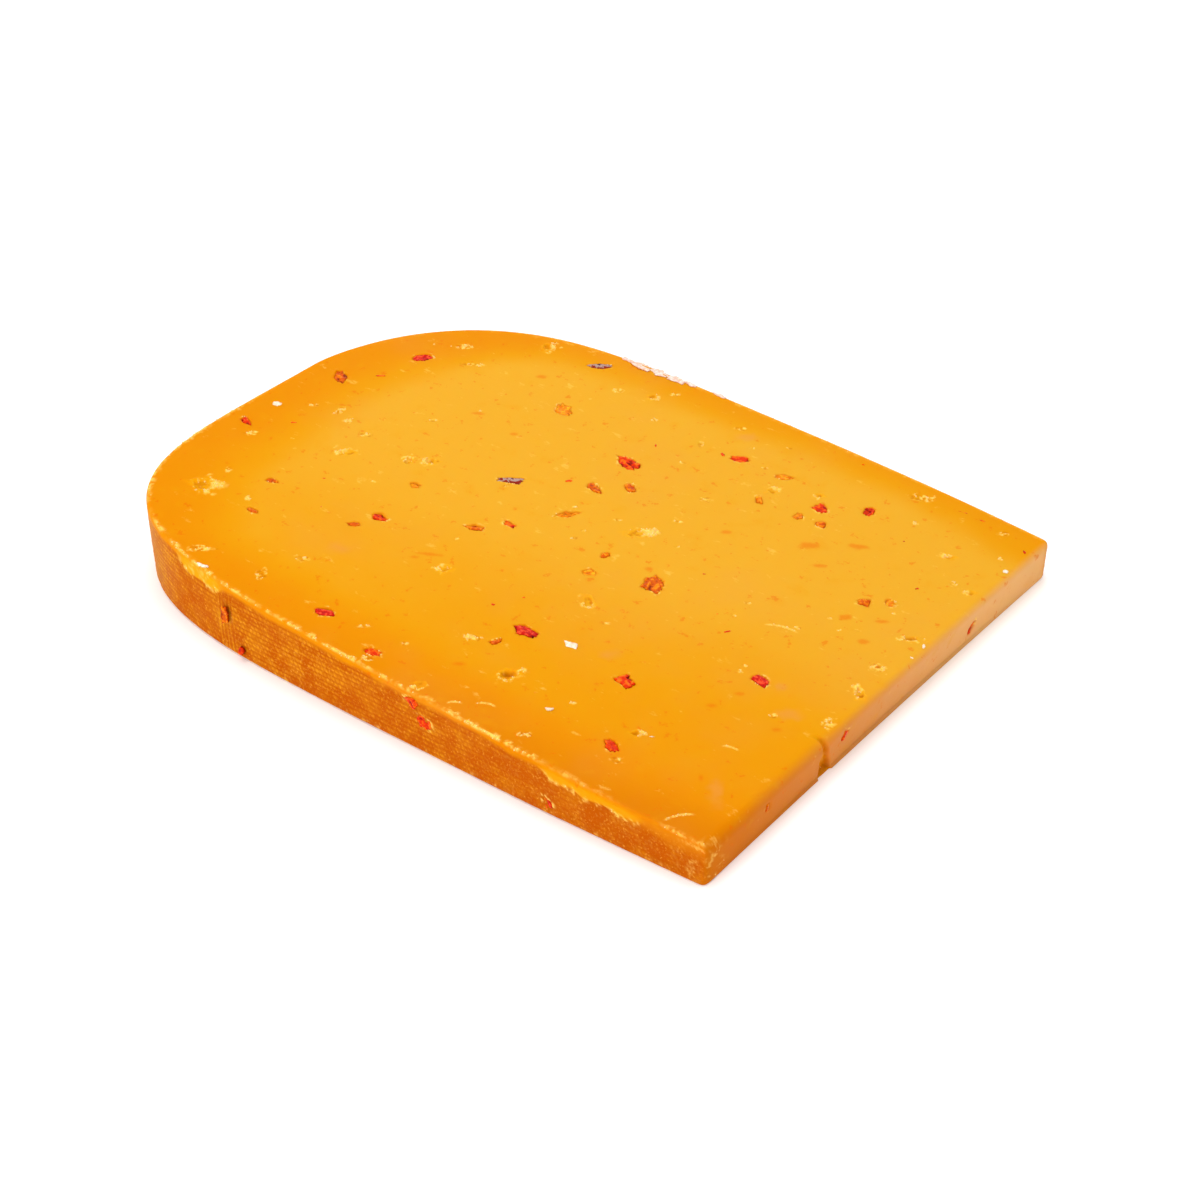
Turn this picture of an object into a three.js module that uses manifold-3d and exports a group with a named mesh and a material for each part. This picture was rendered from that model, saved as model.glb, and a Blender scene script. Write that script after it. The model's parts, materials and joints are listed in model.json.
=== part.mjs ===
// A thin wedge of pressed cheese with chilli flakes in it, lying flat on a broad cut face.
//
// The wheel that the wedge comes from stands on edge here: its two flat rinds are the long sides,
// its rounded rim is the end at -X, and the straight end at +X is the cut nearer the wheel's middle.
// The two broad faces are knife cuts that meet at a shallow angle, so the wedge thins towards +X.
//
// The cheese is one solid. The larger chilli flakes in its faces are pieces of their own, and each
// one lies in a pocket of its shape.
//
// Millimetres, +Z up. The origin is at the middle of the wedge's box, on the surface it rests on.

import * as THREE from 'three';
import { mergeVertices } from 'three/addons/utils/BufferGeometryUtils.js';
import Module from 'manifold-3d';

// Driving dimensions of the wedge.
const WHEEL_HEIGHT = 120;   // from one flat rind to the other
const LENGTH = 154.5;       // from the rim to the straight cut, along the middle
const RIM_THICKNESS = 17.8; // of the slice, at the rim
const CUT_THICKNESS = 8.6;  // of the slice, at the straight cut
const RIM_DEPTH = 100;      // how far the rounded end reaches along the wedge
const APEX_Y = 12;          // the rim's furthest point lies to one side of the middle
const CUT_SKEW = 1.4;       // the straight cut is askew by this much at either rind
const CUT_BOW = 1.2;        // the foot of the straight cut is hollow by this much at its middle
const EDGE = 0.8;           // rounding of the edges
const ROLL = 2;             // softer rounding along the top of the straight cut

// The rounded end, one quarter on each side of its apex: the powers of its super-ellipse, and how
// much the flat rind beyond it draws in towards the straight cut.
const NEAR = { side: -1, alongPower: 4.6, acrossPower: 5, drawIn: 1.1 };
const FAR = { side: 1, alongPower: 4.9, acrossPower: 1.56, drawIn: 2.2 };

const RIND_STEPS = 112;
const CUT_STEPS = 12;
const EDGE_STEPS = 3;

// Chilli flakes.
const FLAKE_DEPTH = 1.2;    // how deep a flake reaches into the cheese
const FLAKE_SUNK = 0.1;     // how far its face lies below the cheese's
const POCKET_GAP = 0.3;     // room between a flake and its pocket
const FLAKE_SIDES = 7;
const BROW = 1.5;           // how far a cutter stands out of the face that it cuts

const HALF_HEIGHT = WHEEL_HEIGHT / 2;
const NOSE_X = -LENGTH / 2;
const CUT_X = LENGTH / 2;
const SHOULDER_X = NOSE_X + RIM_DEPTH;
const TAPER = (RIM_THICKNESS - CUT_THICKNESS) / LENGTH;

const UP = new THREE.Vector3(0, 0, 1);
const TOP_NORMAL = new THREE.Vector3(TAPER, 0, 1).normalize();
const NEAR_NORMAL = new THREE.Vector3(0, -1, 0);
const CUT_NORMAL = new THREE.Vector3(1, 0, 0);

const RED = 0xc42d10;
const ORANGE = 0xd9711c;
const PURPLE = 0x6d4a55;

// Flakes in the upper face: where each one is, its length and width, and its turn in degrees.
const TOP_FLAKES = [
  { x: -71.5, y: -15, long: 3.7, wide: 1.5, turn: 155, colour: RED },
  { x: -69, y: 11, long: 6.4, wide: 2.4, turn: 140, colour: RED },
  { x: -61, y: 29, long: 4.4, wide: 2.6, turn: 60, colour: RED },
  { x: -52, y: -27.5, long: 2.8, wide: 1.3, turn: 15, colour: RED },
  { x: -47.5, y: -37.5, long: 2.6, wide: 1.3, turn: 5, colour: RED },
  { x: -29.5, y: -10, long: 2.3, wide: 1.8, turn: 5, colour: RED },
  { x: -29.5, y: 52, long: 6.5, wide: 2, turn: 35, colour: PURPLE },
  { x: -29.5, y: -28, long: 2.8, wide: 1.5, turn: 35, colour: RED },
  { x: -27.5, y: -23, long: 3.8, wide: 2.3, turn: 175, colour: RED },
  { x: -24.5, y: 32.5, long: 5, wide: 3.2, turn: 140, colour: ORANGE },
  { x: -16, y: 4, long: 6.4, wide: 2.3, turn: 35, colour: PURPLE },
  { x: -14.5, y: -52.5, long: 5, wide: 2.3, turn: 20, colour: RED },
  { x: -11, y: -13.5, long: 4, wide: 1.4, turn: 25, colour: ORANGE },
  { x: -6.5, y: -8, long: 3.2, wide: 1.5, turn: 175, colour: RED },
  { x: -1.5, y: 25, long: 6.2, wide: 3.2, turn: 165, colour: RED },
  { x: -1.5, y: 13, long: 4.4, wide: 2.2, turn: 155, colour: ORANGE },
  { x: 0, y: 2, long: 5.6, wide: 1.7, turn: 50, colour: ORANGE },
  { x: 0, y: -55.5, long: 3.4, wide: 1.6, turn: 10, colour: RED },
  { x: 4, y: 18, long: 2.9, wide: 1.9, turn: 150, colour: RED },
  { x: 14, y: -4, long: 2.3, wide: 1.5, turn: 70, colour: RED },
  { x: 15, y: -10.5, long: 2.8, wide: 2, turn: 35, colour: ORANGE },
  { x: 15, y: 41.5, long: 4.4, wide: 2, turn: 30, colour: RED },
  { x: 15, y: -38.5, long: 2.9, wide: 1.4, turn: 65, colour: RED },
  { x: 17, y: -32.5, long: 4.6, wide: 2.8, turn: 0, colour: RED },
  { x: 25.5, y: 42, long: 4, wide: 1.8, turn: 30, colour: ORANGE },
  { x: 26.5, y: -5.5, long: 5.4, wide: 3.8, turn: 95, colour: ORANGE },
  { x: 26.5, y: 31.5, long: 2.9, wide: 1.8, turn: 125, colour: ORANGE },
  { x: 35.5, y: 32, long: 2.4, wide: 1.8, turn: 90, colour: ORANGE },
  { x: 37.5, y: 37.5, long: 3.2, wide: 2.4, turn: 175, colour: RED },
  { x: 39.5, y: -32.5, long: 4.8, wide: 3.1, turn: 160, colour: RED },
  { x: 40.5, y: 32.5, long: 2.4, wide: 1.8, turn: 40, colour: RED },
  { x: 45.5, y: 43, long: 2.9, wide: 1.9, turn: 95, colour: RED },
  { x: 48.5, y: -48, long: 4.6, wide: 2.4, turn: 150, colour: RED },
  { x: 58.5, y: -16.5, long: 5.2, wide: 2.1, turn: 165, colour: RED },
  { x: 61, y: 16, long: 3, wide: 2.3, turn: 105, colour: RED },
  { x: 64.5, y: 19, long: 2.6, wide: 1.9, turn: 165, colour: ORANGE },
];

// Flakes in the straight cut: how far along it, and how high.
const CUT_FLAKES = [
  { y: -40.5, z: 5.2, long: 2.8, wide: 1.3, turn: 170, colour: ORANGE },
  { y: -16.5, z: 5.7, long: 2.6, wide: 1.7, turn: 135, colour: RED },
  { y: 28.5, z: 3.6, long: 3, wide: 1.3, turn: 140, colour: RED },
];

// Flakes in the near rind: how far along it, and how high.
const RIND_FLAKES = [
  { x: -34, z: 9, long: 4.2, wide: 1.6, turn: 95, colour: ORANGE },
  { x: -30.5, z: 2.2, long: 1.8, wide: 1.5, turn: 20, colour: RED },
  { x: 13, z: 10.4, long: 3.2, wide: 2.6, turn: 120, colour: RED },
  { x: 16, z: 7.1, long: 3.4, wide: 2.2, turn: 145, colour: RED },
  { x: 43.5, z: 2.4, long: 2.6, wide: 1.8, turn: 110, colour: RED },
];

// Open eyes in the upper face: where each one is, its width and its depth.
const EYES = [
  { x: -61, y: -37, wide: 3.6, deep: 0.7 },
  { x: -48, y: -10, wide: 2.6, deep: 0.5 },
  { x: -36.5, y: -4, wide: 2.2, deep: 0.8 },
  { x: -33, y: -1.5, wide: 2.4, deep: 0.6 },
  { x: -7, y: -27.5, wide: 2.4, deep: 0.5 },
  { x: 14.5, y: 6.5, wide: 3, deep: 0.6 },
  { x: 20.5, y: -18, wide: 2.8, deep: 0.8 },
  { x: 22.5, y: -44.5, wide: 3.2, deep: 1 },
  { x: 26.5, y: 36.5, wide: 2.2, deep: 0.5 },
  { x: 74, y: -8, wide: 2.4, deep: 0.8 },
];

// The gap where a chip has broken out of the straight cut, seen from its front: (y, z) round it.
const CHIP_OUTLINE = [
  [-24.4, -1],
  [-24, 1.5],
  [-24.3, 4.4],
  [-24.8, 6],
  [-24, 7.6],
  [-23.2, 10],
  [-22, 10],
  [-21.8, 6.4],
  [-20.7, 3.5],
  [-19.9, -1],
];
const CHIP_DEPTH = 3.2;

const wasm = await Module();
wasm.setup();

// A closed geometry as a solid that can be joined and cut.
function asSolid(geometry) {
  const plain = geometry.clone();
  plain.deleteAttribute('normal');
  plain.deleteAttribute('uv');
  const merged = mergeVertices(plain);
  const vertProperties = new Float32Array(merged.attributes.position.array);
  const triVerts = new Uint32Array(merged.index.array);
  return new wasm.Manifold(new wasm.Mesh({ numProp: 3, vertProperties, triVerts }));
}

// A solid as a geometry again.
function asGeometry(solid) {
  const mesh = solid.getMesh();
  const geometry = new THREE.BufferGeometry();
  geometry.setAttribute('position', new THREE.BufferAttribute(mesh.vertProperties, 3));
  geometry.setIndex(new THREE.BufferAttribute(mesh.triVerts, 1));
  geometry.computeVertexNormals();
  return geometry;
}

function topHeight(x) {
  return CUT_THICKNESS + TAPER * (CUT_X - x);
}

// The rind seen from above: from the near end of the straight cut, round the rim, to its far end.
class RindCurve extends THREE.Curve {
  getPoint(t) {
    const quarter = t < 0.5 ? NEAR : FAR;
    const fromCut = t < 0.5 ? 2 * t : 2 - 2 * t;
    const point = fromCut < 0.5 ? this.flat(quarter, 1 - 2 * fromCut)
      : this.rounded(quarter, 2 * fromCut - 1);
    const askew = ((point.x - NOSE_X) / LENGTH) ** 4;
    return new THREE.Vector2(point.x + CUT_SKEW * askew * point.y / HALF_HEIGHT, point.y);
  }

  // The flat rind: 0 at the shoulder, 1 at the straight cut.
  flat(quarter, along) {
    const y = quarter.side * (HALF_HEIGHT - quarter.drawIn * along ** 2);
    return { x: SHOULDER_X + (CUT_X - SHOULDER_X) * along, y };
  }

  // A quarter of the rounded end: 0 at the shoulder, 1 at the apex.
  rounded(quarter, turned) {
    const angle = turned * Math.PI / 2;
    const reach = HALF_HEIGHT - quarter.side * APEX_Y;
    const across = Math.max(Math.cos(angle), 0) ** (2 / quarter.acrossPower);
    const along = Math.sin(angle) ** (2 / quarter.alongPower);
    return { x: SHOULDER_X - RIM_DEPTH * along, y: APEX_Y + quarter.side * reach * across };
  }
}

function wedgeOutline() {
  const rind = new RindCurve();
  rind.arcLengthDivisions = 4000;
  const points = rind.getSpacedPoints(RIND_STEPS);
  const near = points[0];
  const far = points[points.length - 1];
  for (let step = 1; step < CUT_STEPS; step += 1) {
    points.push(far.clone().lerp(near, step / CUT_STEPS));
  }
  return new THREE.Shape(points);
}

// A slice of even thickness, whose upper face is then sloped and whose straight cut is hollowed.
function sliceGeometry() {
  const geometry = new THREE.ExtrudeGeometry(wedgeOutline(), {
    depth: RIM_THICKNESS - 2 * EDGE,
    steps: 1,
    bevelThickness: EDGE,
    bevelSize: EDGE,
    bevelOffset: -EDGE,
    bevelSegments: EDGE_STEPS,
  });
  geometry.translate(0, 0, EDGE);
  const position = geometry.attributes.position;
  for (let index = 0; index < position.count; index += 1) {
    const x = position.getX(index);
    const y = position.getY(index);
    let z = position.getZ(index);
    if (z > RIM_THICKNESS / 2) {
      z -= RIM_THICKNESS - topHeight(x);
    }
    const atCut = THREE.MathUtils.smoothstep(x, CUT_X - 4, CUT_X - 2);
    const acrossCut = Math.min(Math.abs(y) / (HALF_HEIGHT - FAR.drawIn), 1);
    const hollow = CUT_BOW * (1 - acrossCut ** 2) * Math.max(1 - z / CUT_THICKNESS, 0);
    position.setXYZ(index, x - atCut * hollow, y, z);
  }
  return geometry;
}

// What the knife has rounded off along the top of the straight cut.
function rollCutter() {
  const section = new THREE.Shape();
  section.moveTo(-ROLL, 0);
  section.absarc(-ROLL, -ROLL, ROLL, Math.PI / 2, 0, true);
  section.lineTo(BROW, -ROLL);
  section.lineTo(BROW, BROW);
  section.lineTo(-ROLL, BROW);
  const depth = WHEEL_HEIGHT + 4 * BROW;
  const geometry = new THREE.ExtrudeGeometry(section, { depth, bevelEnabled: false, curveSegments: 5 });
  geometry.rotateX(Math.PI / 2);
  geometry.translate(0, depth / 2, 0);
  geometry.rotateY(Math.atan(TAPER));
  geometry.rotateZ(-Math.atan(CUT_SKEW / HALF_HEIGHT));
  geometry.translate(CUT_X, 0, CUT_THICKNESS);
  return geometry;
}

function chipCutter() {
  const outline = new THREE.Shape(CHIP_OUTLINE.map(([y, z]) => new THREE.Vector2(y, z)));
  const depth = CHIP_DEPTH + BROW;
  const geometry = new THREE.ExtrudeGeometry(outline, { depth, bevelEnabled: false });
  geometry.rotateX(Math.PI / 2);
  geometry.rotateZ(Math.PI / 2);
  geometry.translate(CUT_X - CHIP_DEPTH, 0, 0);
  return geometry;
}

function eyeCutter({ x, y, wide, deep }) {
  const geometry = new THREE.IcosahedronGeometry(wide / 2, 1);
  geometry.scale(1, 0.8, 2 * deep / wide);
  geometry.translate(x, y, topHeight(x));
  return geometry;
}

// A flake's uneven outline, grown all round by grow. Its number varies the corners.
function flakeShape({ long, wide, number }, grow) {
  const points = [];
  for (let corner = 0; corner < FLAKE_SIDES; corner += 1) {
    const angle = corner / FLAKE_SIDES * 2 * Math.PI;
    const uneven = 0.88 + 0.12 * Math.sin(2.4 * number + 2.9 * corner);
    const x = Math.cos(angle) * (long / 2 * uneven + grow);
    const y = Math.sin(angle) * (wide / 2 * uneven + grow);
    points.push(new THREE.Vector2(x, y));
  }
  return new THREE.Shape(points);
}

// Where a flake sits: its foot on the floor of its pocket, its face turned out of the cheese.
function flakePlace(flake) {
  const spin = new THREE.Quaternion().setFromAxisAngle(UP, THREE.MathUtils.degToRad(flake.turn));
  const quaternion = new THREE.Quaternion().setFromUnitVectors(UP, flake.normal).multiply(spin);
  const sunk = -FLAKE_DEPTH - FLAKE_SUNK;
  const position = flake.at.clone().addScaledVector(flake.normal, sunk);
  return { position, quaternion };
}

function flakeMesh(flake) {
  const settings = { depth: FLAKE_DEPTH, bevelEnabled: false };
  const geometry = new THREE.ExtrudeGeometry(flakeShape(flake, 0), settings);
  const material = new THREE.MeshStandardMaterial({
    color: flake.colour,
    roughness: 0.35,
    metalness: 0,
  });
  const mesh = new THREE.Mesh(geometry, material);
  const { position, quaternion } = flakePlace(flake);
  mesh.name = `chilli_flake_${String(flake.number).padStart(2, '0')}`;
  mesh.position.copy(position);
  mesh.quaternion.copy(quaternion);
  return mesh;
}

function pocketCutter(flake) {
  const depth = POCKET_GAP + FLAKE_DEPTH + FLAKE_SUNK + BROW;
  const settings = { depth, bevelEnabled: false };
  const geometry = new THREE.ExtrudeGeometry(flakeShape(flake, POCKET_GAP), settings);
  const { position, quaternion } = flakePlace(flake);
  geometry.translate(0, 0, -POCKET_GAP);
  geometry.applyQuaternion(quaternion);
  geometry.translate(position.x, position.y, position.z);
  return geometry;
}

function cutAt(y) {
  return CUT_X + CUT_SKEW * y / HALF_HEIGHT;
}

function hollowAt(y, z) {
  return CUT_BOW * (1 - (y / HALF_HEIGHT) ** 2) * (1 - z / CUT_THICKNESS);
}

function nearRindAt(x) {
  const along = Math.max(x - SHOULDER_X, 0) / (CUT_X - SHOULDER_X);
  return -HALF_HEIGHT + NEAR.drawIn * along ** 2;
}

// Every flake, numbered, with the point of the face that it sits in and that face's direction.
function allFlakes() {
  const top = TOP_FLAKES.map((flake) => ({
    ...flake,
    at: new THREE.Vector3(flake.x, flake.y, topHeight(flake.x)),
    normal: TOP_NORMAL,
  }));
  const cut = CUT_FLAKES.map((flake) => ({
    ...flake,
    at: new THREE.Vector3(cutAt(flake.y) - hollowAt(flake.y, flake.z), flake.y, flake.z),
    normal: CUT_NORMAL,
  }));
  const rind = RIND_FLAKES.map((flake) => ({
    ...flake,
    at: new THREE.Vector3(flake.x, nearRindAt(flake.x), flake.z),
    normal: NEAR_NORMAL,
  }));
  return [...top, ...cut, ...rind].map((flake, index) => ({ ...flake, number: index + 1 }));
}

function cheeseMesh(flakes) {
  const cutters = [rollCutter(), chipCutter(), ...EYES.map(eyeCutter), ...flakes.map(pocketCutter)];
  const solid = cutters.reduce(
    (cheese, cutter) => cheese.subtract(asSolid(cutter)),
    asSolid(sliceGeometry()),
  );
  const material = new THREE.MeshStandardMaterial({ color: 0xf4a822, roughness: 0.5, metalness: 0 });
  const mesh = new THREE.Mesh(asGeometry(solid), material);
  mesh.name = 'cheese_wedge';
  return mesh;
}

// The wedge with its flakes, moved so that the middle of its box is over the origin.
function cheeseWithFlakes() {
  const flakes = allFlakes();
  const cheese = cheeseMesh(flakes);
  const group = new THREE.Group();
  group.add(cheese, ...flakes.map(flakeMesh));
  const box = new THREE.Box3().setFromObject(cheese);
  const middle = box.getCenter(new THREE.Vector3());
  group.position.set(-middle.x, -middle.y, 0);
  return group;
}

export default cheeseWithFlakes();
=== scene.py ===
"""Looks of the cheese wedge: pressed orange cheese with chilli flakes, lying on a plain pale floor.

The wheel stands on edge: the near and far rinds are its two flat sides, the rounded end at -X is its
rim, and the straight end at +X is the cut nearer its middle. X runs along the wedge, Y across it, Z up.

Lengths are millimetres. They become metres where a mesh, a camera or a light is made.
"""

import json
import math

import bmesh
import bpy
import numpy as np
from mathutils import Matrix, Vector, geometry


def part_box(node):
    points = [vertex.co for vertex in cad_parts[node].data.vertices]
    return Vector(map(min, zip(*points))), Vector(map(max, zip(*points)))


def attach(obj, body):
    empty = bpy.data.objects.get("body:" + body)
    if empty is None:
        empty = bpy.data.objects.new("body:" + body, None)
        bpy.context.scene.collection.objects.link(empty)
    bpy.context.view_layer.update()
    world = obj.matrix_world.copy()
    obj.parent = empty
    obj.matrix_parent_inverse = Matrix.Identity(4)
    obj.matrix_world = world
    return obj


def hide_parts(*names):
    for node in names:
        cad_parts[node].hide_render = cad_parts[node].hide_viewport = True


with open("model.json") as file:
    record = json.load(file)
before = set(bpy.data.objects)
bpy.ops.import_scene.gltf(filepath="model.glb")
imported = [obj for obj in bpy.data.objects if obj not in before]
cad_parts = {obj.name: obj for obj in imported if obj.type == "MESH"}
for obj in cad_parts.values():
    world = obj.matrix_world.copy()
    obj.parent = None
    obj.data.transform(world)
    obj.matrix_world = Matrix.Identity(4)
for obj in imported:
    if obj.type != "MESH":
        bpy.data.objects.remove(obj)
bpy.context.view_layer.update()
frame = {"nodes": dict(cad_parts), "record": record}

MM = 0.001
RANDOM = np.random.default_rng(7)

# The wedge, from the frame.
LOW, HIGH = (np.array(corner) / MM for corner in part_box("cheese_wedge"))
HALF_HEIGHT = (HIGH[1] - LOW[1]) / 2
NOSE_X = LOW[0]

# Its outline, as in the CAD model.
CUT_SKEW = 1.4
CUT_BOW = 1.2
RIM_DEPTH = 100
APEX_Y = 12
NEAR = {"side": -1, "along_power": 4.6, "across_power": 5, "draw_in": 1.1}
FAR = {"side": 1, "along_power": 4.9, "across_power": 1.56, "draw_in": 2.2}
CUT_X = HIGH[0] - CUT_SKEW * (1 - FAR["draw_in"] / HALF_HEIGHT)
SHOULDER_X = NOSE_X + RIM_DEPTH
LENGTH = CUT_X - NOSE_X

# The print of the cheesecloth in the rind, and the spacing of the mesh that carries it.
PRINT_PITCH = 1.05
PRINT_DEPTH = 0.13
COLUMN_STEP = 0.4
ROW_STEP = 0.375
CUT_STEP = 0.6
FOOT = 0.6
FOOT_ROWS = 3
ROLL_ROWS = 6
RIND_ROLL = 0.7
CUT_ROLL = 2.2
SEAM_X = -35.5
SEAM_HALF_WIDTH = 2.6

# The chip broken out of the straight cut.
CHIP_Y = -22.6
CHIP_DEPTH = 1.4

# The camera's right-hand direction seen from above, in degrees from X. The knife was drawn this way too,
# so most marks in the upper face lie along it.
ALONG = 37
ACROSS = 127


def marks(*rows):
    """Rows of x, y, length, width and turn in degrees. A row that gives no turn lies along ALONG."""
    return [row if len(row) > 4 else (*row, ALONG) for row in rows]


# Open eyes in the upper face: x, y, length, width, turn, depth.
EYES = [
    (-61.5, -37, 5.4, 4.2, ALONG, 0.35), (-48.5, -10, 3.8, 2.2, ALONG, 0.5),
    (-43.5, 51, 3.4, 2.6, 100, 0.4), (-37, -4, 2.8, 1.7, 110, 0.9), (-33.5, -1.5, 3, 2, ALONG, 0.6),
    (-13.5, 49.5, 2.8, 2.2, ALONG, 0.4), (-7.5, -27.5, 3.4, 2.6, 60, 0.3), (12, -57, 2.6, 1.9, 60, 0.5),
    (14, 6.5, 5.8, 2.4, ALONG, 0.35), (20, -18, 3.6, 2.6, ACROSS, 0.5), (22, -44.5, 4.4, 3, ALONG, 1.1),
    (26, 36.5, 2.8, 2.2, ALONG, 0.5), (34, 41, 2, 1.6, ALONG, 0.4), (49.5, -42.5, 2.2, 1.4, ALONG, 0.5),
    (65, 39.5, 2.4, 1.7, ALONG, 0.4), (72.5, 12, 4, 1.5, 30, 0.5), (73.5, -8, 3.6, 2.2, ACROSS, 0.8),
    (74, 32, 2.4, 1.6, ALONG, 0.4),
]

# Places where the knife tore the paste into pale crumbs: x, y, length, width, turn.
TEARS = marks(
    (-68, -17.5, 2.6, 1.6), (-66, -1, 2.2, 1.1), (-60.5, 1, 3.2, 2, 100), (-58, 38.5, 4.6, 2),
    (-56.5, -1, 2, 1.4), (-62, -30.5, 2.2, 1.4, ACROSS), (-51.5, 34, 6.5, 1.1), (-52, -35, 2, 1.2, ACROSS),
    (-50, -2.5, 2.8, 1.6), (-46.5, -53, 5.4, 2), (-43, 11, 1.8, 1.2), (-32.5, -51.5, 3.6, 2, ACROSS),
    (-30, -43, 3.4, 1.5), (-21, 46.5, 2.6, 2), (-10.5, 53.5, 2.2, 1.4), (-8, 42, 1.8, 1.4),
    (-7, -51, 2.4, 1), (0, -57.5, 3.2, 1.6), (2, -50, 1.8, 1), (5, 40.5, 2.6, 1.2, ACROSS),
    (6, 32.5, 1.6, 1), (8, 7, 1.6, 1), (8, 51.5, 2.6, 1.6), (10.5, -40.5, 3, 1.8), (14, 46.5, 1.4, 1),
    (17, 24.5, 2.8, 1.8), (34.5, -55.5, 2.8, 1.4), (50.5, -50.5, 2.8, 1.8), (50.5, 54, 5.6, 2.4, 30),
    (54, 45.5, 1.8, 1.2, ACROSS), (65, -23, 1.7, 1.2), (69.5, 54, 2, 1.4), (70, 32.5, 1.8, 1.4, ACROSS),
    (72, 0.5, 3.8, 2.6), (73, 46, 1.6, 1.2), (73.5, -18.5, 3.2, 2.2, 100),
)
SMALL_TEARS = 26

# Soft patches where chilli oil has coloured the paste: x, y, length, width, turn.
OIL_PATCHES = marks(
    (-38, 19, 2.8, 1), (-37, 40, 2.8, 1.2), (-27, 18, 1.8, 1), (-14, -28.5, 2, 0.9),
    (-12.5, -26, 5.2, 1, 30), (13.5, -48, 2.4, 1.1), (22.5, -2, 1.8, 1.3), (27, 18, 2.2, 1),
    (42, 25, 3.6, 2), (47, 20.5, 2.8, 1.2), (49.5, 31, 5.2, 1.5, 28), (55, -28, 2, 1), (57, -22, 2, 1),
    (59.5, 9.5, 2.6, 1.8), (64.5, -45, 1.5, 1.1, ACROSS), (65.5, 13, 3, 1), (66, 5.5, 2.4, 1.2),
    (67.5, -26, 1.8, 1),
)

# Pinkish bruises in the paste: x, y, length, width, turn.
BRUISES = marks(
    (-26.5, -36, 5, 3), (11, 49.5, 4, 3), (32, -28.5, 3.4, 2), (61.5, -15.5, 3, 1.8), (67, -21, 6, 3),
    (68.5, -46, 7, 2, ACROSS),
)

# Fine scratches: x, y, length, width, turn, bow.
SCRATCHES = [
    (20, -57.2, 3, 1.8, 40, 0.5), (24.5, -54, 4, 1.8, 26, 0.6), (52.3, -1.4, 7.2, 1.8, 17, 0.8),
    (64, -35.6, 3.4, 1.8, 18, 0.4), (67.5, -55.5, 6, 1.8, 56, 0.6),
]

# White grains, such as grow in old cheese: x, y, length, width, turn.
WHITE_GRAINS = marks(
    (-72, -6, 2.4, 1.7), (25.5, -30.5, 3.3, 2.1, 10), (33.5, -47.5, 1.9, 1.4), (51.5, -41.5, 1.6, 0.9),
    (76, 42.5, 1.2, 0.9), (-42.5, -57, 2.8, 1, 12), (75.4, 11.5, 1.2, 0.9, ACROSS),
    (75.4, 7.3, 1, 0.7, ACROSS),
)

# Chips of chilli too small to be CAD parts: x, y, length, width, turn.
SMALL_CHILLI = marks(
    (-64.5, -9, 1.6, 0.7), (-63.5, 17, 2.2, 1), (-45.5, -20, 1.4, 0.7), (-39, -28, 0.9, 0.6),
    (-7.5, 11.5, 1.8, 1.1, 60), (-2, 34, 1.4, 0.7, ACROSS), (0.5, -28.5, 1, 0.7), (7, -30.5, 1.3, 1, 20),
    (10, -25, 1, 0.7), (10.5, 40.5, 1.8, 1.1, 150), (31, 14, 0.9, 0.7), (31.5, 3.5, 1.1, 0.7),
    (35, 57, 1, 0.8), (40.5, -5, 0.9, 0.6), (42, -9.5, 1, 0.8, 90), (45, -8.5, 1.7, 0.9, 60),
    (55.5, 38.5, 0.8, 0.7), (59.5, 55.2, 3.2, 0.8, 12), (64, 55, 2.2, 0.6, 8), (65.5, 26.5, 1.3, 0.9, 70),
    (75.5, 51, 1.5, 1.1, ACROSS),
)

# Pieces of papery skin left on the far rim: how far along X, and length and width.
SKIN_PIECES = [
    (-27, 4.6, 1.8), (-23, 6.4, 3), (-18.5, 6, 2.8), (-14, 5.6, 2.6), (-10.5, 4, 1.8), (-3, 3.6, 1.1),
]

# How far apart the points of the upper face are: at eyes, flakes and scratches, at tears, the spacings in
# use, and how fast the spacing grows with the distance from a mark.
FINE_STEP = 0.24
TEAR_STEP = 0.28
LEVELS = (0.24, 0.42, 0.7, 1.15, 2.0)
GROWTH = 0.55

# What the mesh tells the cheese's material at each of its points.
# The cut field marks where the straight cut gets painted shade and painted reflection.
# painted_hollow_shade marks painted shade in eyes, tears and flake beds.
FIELDS = ("print", "rind", "crumb", "fresh", "painted_hollow_shade", "stain", "bruise", "cut")


# ---- small helpers

def smooth(value, low, high):
    """0 below low, 1 above high, smooth between them. low may be the larger one."""
    part = np.clip((value - low) / (high - low), 0, 1)
    return part * part * (3 - 2 * part)


def lattice_value(cell, seed):
    """A number from 0 to 1 that belongs to each whole-numbered lattice point."""
    mixed = cell[..., 0] * 374761393 + cell[..., 1] * 668265263 + cell[..., 2] * 974711 + seed * 83492791
    mixed = (mixed ^ (mixed >> 13)) & 0xFFFFFFF
    mixed = (mixed * 1274126177) & 0xFFFFFFFFFFF
    return ((mixed ^ (mixed >> 16)) & 0xFFFF) / 65535


def noise(points, size, seed=0):
    """Smooth noise from 0 to 1 with bumps of about the given size."""
    scaled = np.asarray(points, float) / size
    cell = np.floor(scaled).astype(np.int64)
    part = scaled - cell
    part = part * part * (3 - 2 * part)
    total = np.zeros(len(scaled))
    for corner in np.ndindex(2, 2, 2):
        weight = np.prod(np.where(corner, part, 1 - part), axis=1)
        total += weight * lattice_value(cell + corner, seed)
    return total


def rough(points, size, seed=0):
    """Noise with two finer octaves, about -1 to 1."""
    total = sum(noise(points, size / 2 ** n, seed + n) / 2 ** n for n in range(3))
    return total / 1.75 * 2 - 1


def flat_noise(x, y, size, seed=0):
    return rough(np.stack([x, y, np.zeros_like(x)], 1), size, seed)


def unit(vector):
    return vector / np.linalg.norm(vector)


def cos_sin(degrees):
    return math.cos(math.radians(degrees)), math.sin(math.radians(degrees))


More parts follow.
